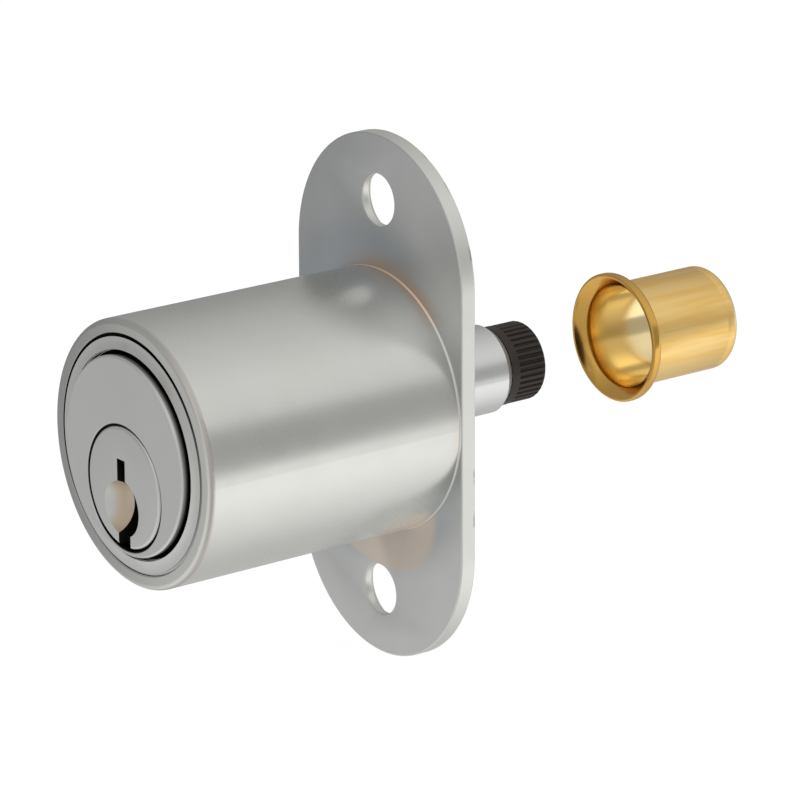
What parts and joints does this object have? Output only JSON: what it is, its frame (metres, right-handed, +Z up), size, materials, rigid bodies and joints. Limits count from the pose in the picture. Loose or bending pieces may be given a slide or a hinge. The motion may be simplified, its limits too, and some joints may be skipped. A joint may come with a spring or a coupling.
{
  "type": "plunger lock",
  "caption": "Push-in cylinder lock in a round flanged barrel, with a ribbed plunger at the back and a loose flanged strike bush.",
  "frame": {"origin": "on the barrel's axis, in the flange face that lies against the door, midway between the two screw holes", "axes": "-Y along the lock axis towards the lock face and the key, +Y the way the plunger points, +Z up along the flange's long side"},
  "size_m": [0.0284, 0.0766, 0.0564],
  "materials": {
    "satin_chrome_barrel": "satin chrome plating, fine turned",
    "satin_chrome_plate": "satin chrome plating on sheet steel",
    "satin_chrome_face": "satin chrome plating, blasted face",
    "satin_chrome_shaft": "satin plated steel, turned",
    "zinc_plated_steel": "bright zinc plating",
    "plain_steel": "ground steel",
    "spring_steel": "drawn spring wire",
    "black_oxide_steel": "matt black oxide",
    "bearing_brass": "turned brass",
    "polished_brass": "polished drawn brass"
  },
  "bodies": {
    "barrel": {"housing": "satin_chrome_barrel", "flange_plate": "satin_chrome_plate", "end_cap": "zinc_plated_steel", "guide_bush": "bearing_brass", "return_spring": "spring_steel"},
    "carrier": {"carrier": "satin_chrome_face", "back_plate": "zinc_plated_steel", "back_screws": "zinc_plated_steel", "guide_pin": "zinc_plated_steel", "core_screw": "zinc_plated_steel", "lock_core": "satin_chrome_face", "driver_pins": "plain_steel", "pin_springs": "spring_steel", "pin_cover": "bearing_brass", "latch_spring": "spring_steel", "plunger_shaft": "satin_chrome_shaft", "plunger_tip": "black_oxide_steel"},
    "plug": {"plug": "satin_chrome_face", "key_pins": "bearing_brass", "plug_clip": "spring_steel", "cam": "zinc_plated_steel", "cam_screw": "zinc_plated_steel"},
    "latch": {"latch_bolt": "plain_steel"},
    "strike": {"strike_bush": "polished_brass"}
  },
  "joints": [
    {"name": "cylinder_push", "type": "slide", "parent": "barrel", "child": "carrier", "axis": [0, 1, 0], "range_m": [-0.011, 0], "deforming": ["return_spring"]},
    {"name": "key_turn", "type": "hinge", "parent": "carrier", "child": "plug", "pos_m": [0, -0.032, -0.00333], "axis": [0, 1, 0], "range_deg": [0, 90]},
    {"name": "latch_slide", "type": "slide", "parent": "carrier", "child": "latch", "axis": [0, 0, -1], "range_m": [0, 0.00105], "deforming": ["latch_spring"]},
    {"name": "bush_slide", "type": "slide", "parent": "barrel", "child": "strike", "axis": [0, 1, 0], "range_m": [-0.0225, 0]}
  ],
  "couplings": [
    {"joint": "latch_slide", "follows": "key_turn", "m_per_rad": 0.00066845}
  ]
}
